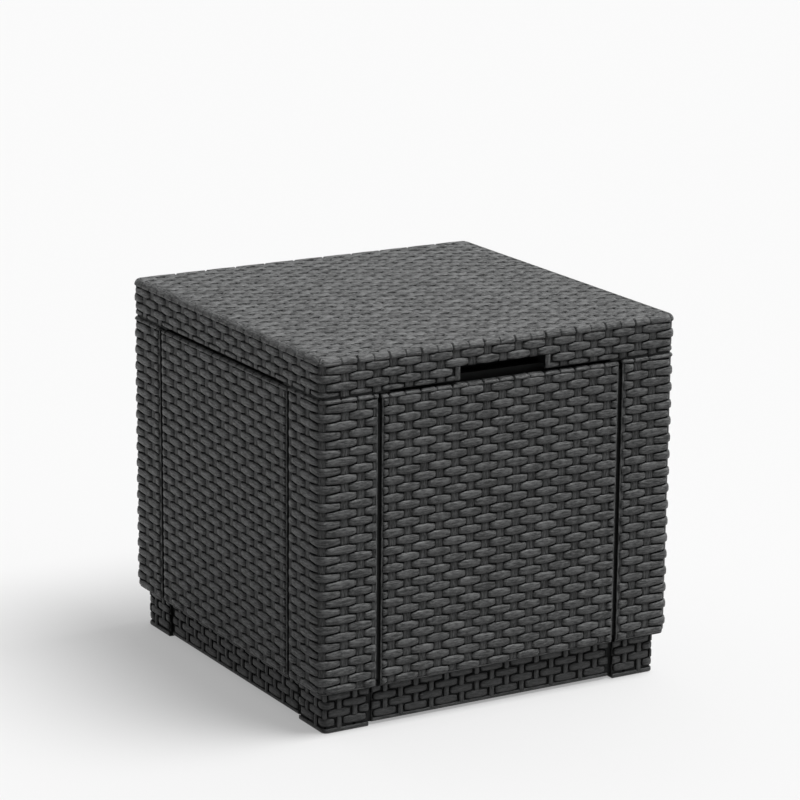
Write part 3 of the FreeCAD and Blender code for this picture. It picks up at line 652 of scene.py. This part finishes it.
for line in np.flatnonzero(once_round & (wall_numbers % 1 == 0)):
    along = wall_lines[line]
    local = abs(along - lid.side_length * round(along / lid.side_length))
    low_end = SEAM + (CUTAWAY_HEIGHT if local < CUTAWAY_HALF else 0)
    if abs(along) < GRIP_HALF + JAMB_WIDTH:
        low_end = grip_top
    strands.append(skirt_weave.warp(line, low_end, hem_low + SKIRT_WARP_LAP))
for side in (-1, 1):
    jamb = side * (GRIP_HALF + JAMB_WIDTH / 2)
    strands.append(strand(lid.place, steps(SEAM + CUTAWAY_HEIGHT, grip_top, STATION_STEP), jamb,
                          JAMB_WIDTH / 2, JAMB_DEPTH, WALL_RELIEF.deepest, upright=True))
strands.append(hem(lid, -0.5 * lid.side_length, 3.5 * lid.side_length, hem_low, LID_HEM_INSET))
skirt = make_piece("lid_skirt_woven", strands, WOVEN_RESIN, core_of("lid_shell", lid, WALL_CORE_DEPTH))

TOP_MARGIN = 5
TOP_REACH = WALL_HALF - TOP_MARGIN
TOP_ROW_COUNT = 44
TOP_ROWS = ROW_PITCH * (np.arange(TOP_ROW_COUNT) - (TOP_ROW_COUNT - 1) / 2)
EDGE_ROW_PITCH = 7.3
TOP_EDGE_ROW = TOP_ROWS[-1] + EDGE_ROW_PITCH
EDGE_SLIM = 0.6
TOP_WARPS = 12


def on_lid_top(along, across, depth):
    """Points on the top of the lid, down to where it meets the hem on the rolled edge."""
    past_x = np.maximum(np.abs(along) - lid.flat, 0)
    past_y = np.maximum(np.abs(across) - lid.flat, 0)
    reach = np.clip(np.hypot(past_x, past_y) - WALL_CORNER_RADIUS + LID_ROLL, 0, LID_ROLL)
    drop = LID_ROLL - np.sqrt(LID_ROLL ** 2 - reach ** 2)
    return np.stack(np.broadcast_arrays(along, across, LID_TOP - drop - depth), -1)


TOP_RELIEF = Relief(weft_crest=0, weft_trough=2.8, weft_half=4.4, weft_waist=3.7, warp_crest=1.5,
                    warp_trough=2.4, warp_half=5.4, corner_half=5.4, warp_section=UPRIGHT, deepest=3.4)
top_numbers = np.arange(-TOP_WARPS, TOP_WARPS + 1)
top_rows = np.concatenate([[-TOP_EDGE_ROW], TOP_ROWS, [TOP_EDGE_ROW]])
top_weave = Weave(on_lid_top, WARP_PITCH * top_numbers, top_numbers + 1, top_rows, TOP_RELIEF)
strands = []
for row, across in enumerate(top_rows):
    slim = EDGE_SLIM if abs(across) == TOP_EDGE_ROW else 1
    strands.append(top_weave.weft(row, -TOP_REACH, TOP_REACH, slim))
strands += top_weave.warps(-TOP_REACH, TOP_REACH, -TOP_REACH, TOP_REACH)
top = make_piece("lid_top_woven", strands, WOVEN_RESIN)
for piece in (skirt, top):
    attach(piece, "lid")
    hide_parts("lid_shell")

# Lid liner and its screws: a plain polypropylene under-pan, screwed up against the bosses of the
# lid, whose lip centres the lid inside the walls.
finish_node("lid_liner", PLAIN_RESIN)
finish_node("lid_screws", ZINC)

# Studio: a pale seamless floor, a white surround that is brightest behind to the right, and one broad
# lamp from the front right.
FLOOR_COLOUR = "#e8e8e8"
SWEEP_WHITE = "#fbfbfb"
FLOOR_BOUNCE = "#6e6e6e"
FLOOR_REACH = 30
LAMP_DIRECTION = mathutils.Vector((0.36, -0.24, 0.9))
BRIGHT_SIDE = (0.65, 0.45, 0.61)
SWEEP_GLOW = 0.35


def pale_floor():
    """Matt painted studio floor, which looks paler than the light that it throws back on the table."""
    material, tree = new_material("matt painted floor")
    path = add_node(tree, "ShaderNodeLightPath")
    mirrored = add_node(tree, "ShaderNodeMath", {0: path.outputs["Is Glossy Ray"],
                                                 1: path.outputs["Is Transmission Ray"]},
                        operation="MAXIMUM")
    seen = add_node(tree, "ShaderNodeMath", {0: path.outputs["Is Camera Ray"], 1: mirrored.outputs[0]},
                    operation="MAXIMUM")
    colour = colour_between(tree, seen.outputs[0], FLOOR_BOUNCE, FLOOR_COLOUR)
    matt = add_node(tree, "ShaderNodeBsdfDiffuse", {"Color": colour})
    white = add_node(tree, "ShaderNodeEmission", {"Color": linear(SWEEP_WHITE)})
    share = add_node(tree, "ShaderNodeMath", {0: seen.outputs[0], 1: SWEEP_GLOW}, operation="MULTIPLY")
    shader = add_node(tree, "ShaderNodeMixShader", {0: share.outputs[0], 1: matt.outputs[0],
                                                    2: white.outputs[0]})
    add_node(tree, "ShaderNodeOutputMaterial", {"Surface": shader.outputs[0]})
    return material


floor_mesh = bpy.data.meshes.new("studio_floor")
floor_corners = [(-FLOOR_REACH, -FLOOR_REACH, 0), (FLOOR_REACH, -FLOOR_REACH, 0),
                 (FLOOR_REACH, FLOOR_REACH, 0), (-FLOOR_REACH, FLOOR_REACH, 0)]
floor_mesh.from_pydata(floor_corners, [], [(0, 1, 2, 3)])
floor_mesh.materials.append(pale_floor())
studio_floor = bpy.data.objects.new("studio_floor", floor_mesh)
bpy.context.scene.collection.objects.link(studio_floor)

scene = bpy.context.scene
scene.view_settings.view_transform = "Standard"
world = bpy.data.worlds.new("studio")
world.use_nodes = True
sky = world.node_tree
sky.nodes.clear()
toward = add_node(sky, "ShaderNodeTexCoord").outputs["Generated"]
share = add_node(sky, "ShaderNodeVectorMath", {0: toward, 1: BRIGHT_SIDE}, operation="DOT_PRODUCT")
glow = add_node(sky, "ShaderNodeMapRange", {"Value": share.outputs["Value"], "From Min": -0.2,
                                            "To Min": 0.03, "To Max": 0.68})
surround = add_node(sky, "ShaderNodeBackground", {"Color": linear("#ffffff"), "Strength": glow.outputs[0]})
add_node(sky, "ShaderNodeOutputWorld", {"Surface": surround.outputs["Background"]})
scene.world = world

lamp = bpy.data.lights.new("broad_lamp", "SUN")
lamp.energy = 2.85
lamp.angle = math.radians(36)
lamp_object = bpy.data.objects.new("broad_lamp", lamp)
lamp_object.rotation_euler = LAMP_DIRECTION.to_track_quat("Z", "Y").to_euler()
scene.collection.objects.link(lamp_object)

# Camera: a long lens at the photograph's side and height, tilted a touch, with the near corner left of
# the middle of the frame.
CAMERA_TURN = math.radians(-30.33)
CAMERA_RISE = math.radians(14.71)
CAMERA_ROLL = math.radians(0.48)
CAMERA_DISTANCE = 3.494
CAMERA_TARGET = np.array([0.0027, 0, 0.2753])
level_share = math.cos(CAMERA_RISE)
back = np.array([math.sin(CAMERA_TURN) * level_share, -math.cos(CAMERA_TURN) * level_share,
                 math.sin(CAMERA_RISE)])
level = np.array([math.cos(CAMERA_TURN), math.sin(CAMERA_TURN), 0])
raised = np.cross(back, level)
right = math.cos(CAMERA_ROLL) * level + math.sin(CAMERA_ROLL) * raised
upward = math.cos(CAMERA_ROLL) * raised - math.sin(CAMERA_ROLL) * level
camera = bpy.data.cameras.new("camera")
camera.lens = 148.4
camera.sensor_width = 36
camera.clip_end = 100
camera_object = bpy.data.objects.new("camera", camera)
pose = np.eye(4)
pose[:3] = np.column_stack([right, upward, back, CAMERA_TARGET + CAMERA_DISTANCE * back])
camera_object.matrix_world = pose.T.tolist()
scene.collection.objects.link(camera_object)
scene.camera = camera_object
